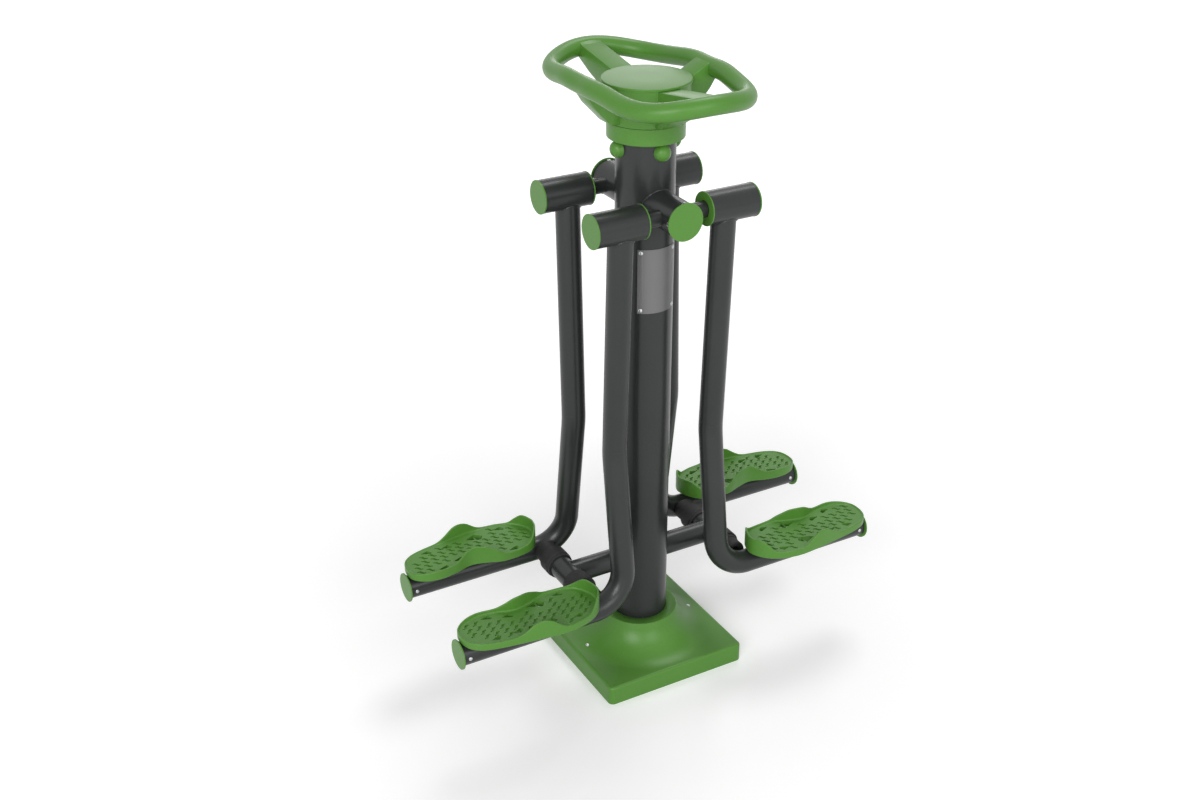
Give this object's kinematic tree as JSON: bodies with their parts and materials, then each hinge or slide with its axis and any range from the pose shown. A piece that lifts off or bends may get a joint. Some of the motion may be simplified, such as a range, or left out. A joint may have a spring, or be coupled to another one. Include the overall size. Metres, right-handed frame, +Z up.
{
  "type": "outdoor leg swing station",
  "caption": "Park exercise station: a post with a hand wheel and hanging swing arms that end in foot plates, on a square covered base.",
  "frame": {"origin": "on the ground, in the middle of the post and of the base cover", "axes": "+Z up along the post; X along the hinge axles and the foot bars; Y along the swing of the legs, with the bare label plate on the -Y side"},
  "size_m": [1.178, 0.5954, 1.5693],
  "materials": {
    "green_plastic": "satin moulded plastic",
    "charcoal_paint": "satin powder coat",
    "galvanised": "zinc plated",
    "bright_steel": "bright stainless",
    "label_metal": "matt brushed sheet",
    "black_rubber": "matt"
  },
  "bodies": {
    "stand": {"base_flange": "galvanised", "base_cover": "green_plastic", "base_cover_screws": "bright_steel", "post": "charcoal_paint", "stubs": "charcoal_paint", "stub_caps": "green_plastic", "stub_cap_rivets": "bright_steel", "axles": "charcoal_paint", "axle_nuts": "galvanised", "hand_wheel": "green_plastic", "hub_lid": "green_plastic", "wheel_collar": "green_plastic", "wheel_bolts": "galvanised", "wheel_bolt_caps": "green_plastic", "label_plate": "label_metal", "label_rivets": "bright_steel", "stop_cross_tubes": "charcoal_paint", "stop_tubes": "charcoal_paint", "buffers": "black_rubber"},
    "left_rear_leg": {"left_rear_housing": "charcoal_paint", "left_rear_arm": "charcoal_paint", "left_rear_bearings": "bright_steel", "left_rear_outer_cap": "green_plastic", "left_rear_seal_ring": "green_plastic", "left_rear_footplate": "green_plastic", "left_rear_footplate_rim": "green_plastic", "left_rear_footplate_bolts": "bright_steel", "left_rear_end_cap": "green_plastic", "left_rear_end_rivets": "bright_steel"},
    "left_front_leg": {"left_front_housing": "charcoal_paint", "left_front_arm": "charcoal_paint", "left_front_bearings": "bright_steel", "left_front_outer_cap": "green_plastic", "left_front_seal_ring": "green_plastic", "left_front_footplate": "green_plastic", "left_front_footplate_rim": "green_plastic", "left_front_footplate_bolts": "bright_steel", "left_front_end_cap": "green_plastic", "left_front_end_rivets": "bright_steel"},
    "right_front_leg": {"right_front_housing": "charcoal_paint", "right_front_arm": "charcoal_paint", "right_front_bearings": "bright_steel", "right_front_outer_cap": "green_plastic", "right_front_seal_ring": "green_plastic", "right_front_footplate": "green_plastic", "right_front_footplate_rim": "green_plastic", "right_front_footplate_bolts": "bright_steel", "right_front_end_cap": "green_plastic", "right_front_end_rivets": "bright_steel"},
    "right_rear_leg": {"right_rear_housing": "charcoal_paint", "right_rear_arm": "charcoal_paint", "right_rear_bearings": "bright_steel", "right_rear_outer_cap": "green_plastic", "right_rear_seal_ring": "green_plastic", "right_rear_footplate": "green_plastic", "right_rear_footplate_rim": "green_plastic", "right_rear_footplate_bolts": "bright_steel", "right_rear_end_cap": "green_plastic", "right_rear_end_rivets": "bright_steel"}
  },
  "joints": [
    {"name": "left_rear_swing", "type": "hinge", "parent": "stand", "child": "left_rear_leg", "pos_m": [0, 0.125, 1.256], "axis": [1, 0, 0], "range_deg": [0, 45]},
    {"name": "left_front_swing", "type": "hinge", "parent": "stand", "child": "left_front_leg", "pos_m": [0, -0.125, 1.256], "axis": [-1, 0, 0], "range_deg": [0, 45]},
    {"name": "right_front_swing", "type": "hinge", "parent": "stand", "child": "right_front_leg", "pos_m": [0, -0.125, 1.256], "axis": [-1, 0, 0], "range_deg": [0, 45]},
    {"name": "right_rear_swing", "type": "hinge", "parent": "stand", "child": "right_rear_leg", "pos_m": [0, 0.125, 1.256], "axis": [1, 0, 0], "range_deg": [0, 45]}
  ]
}
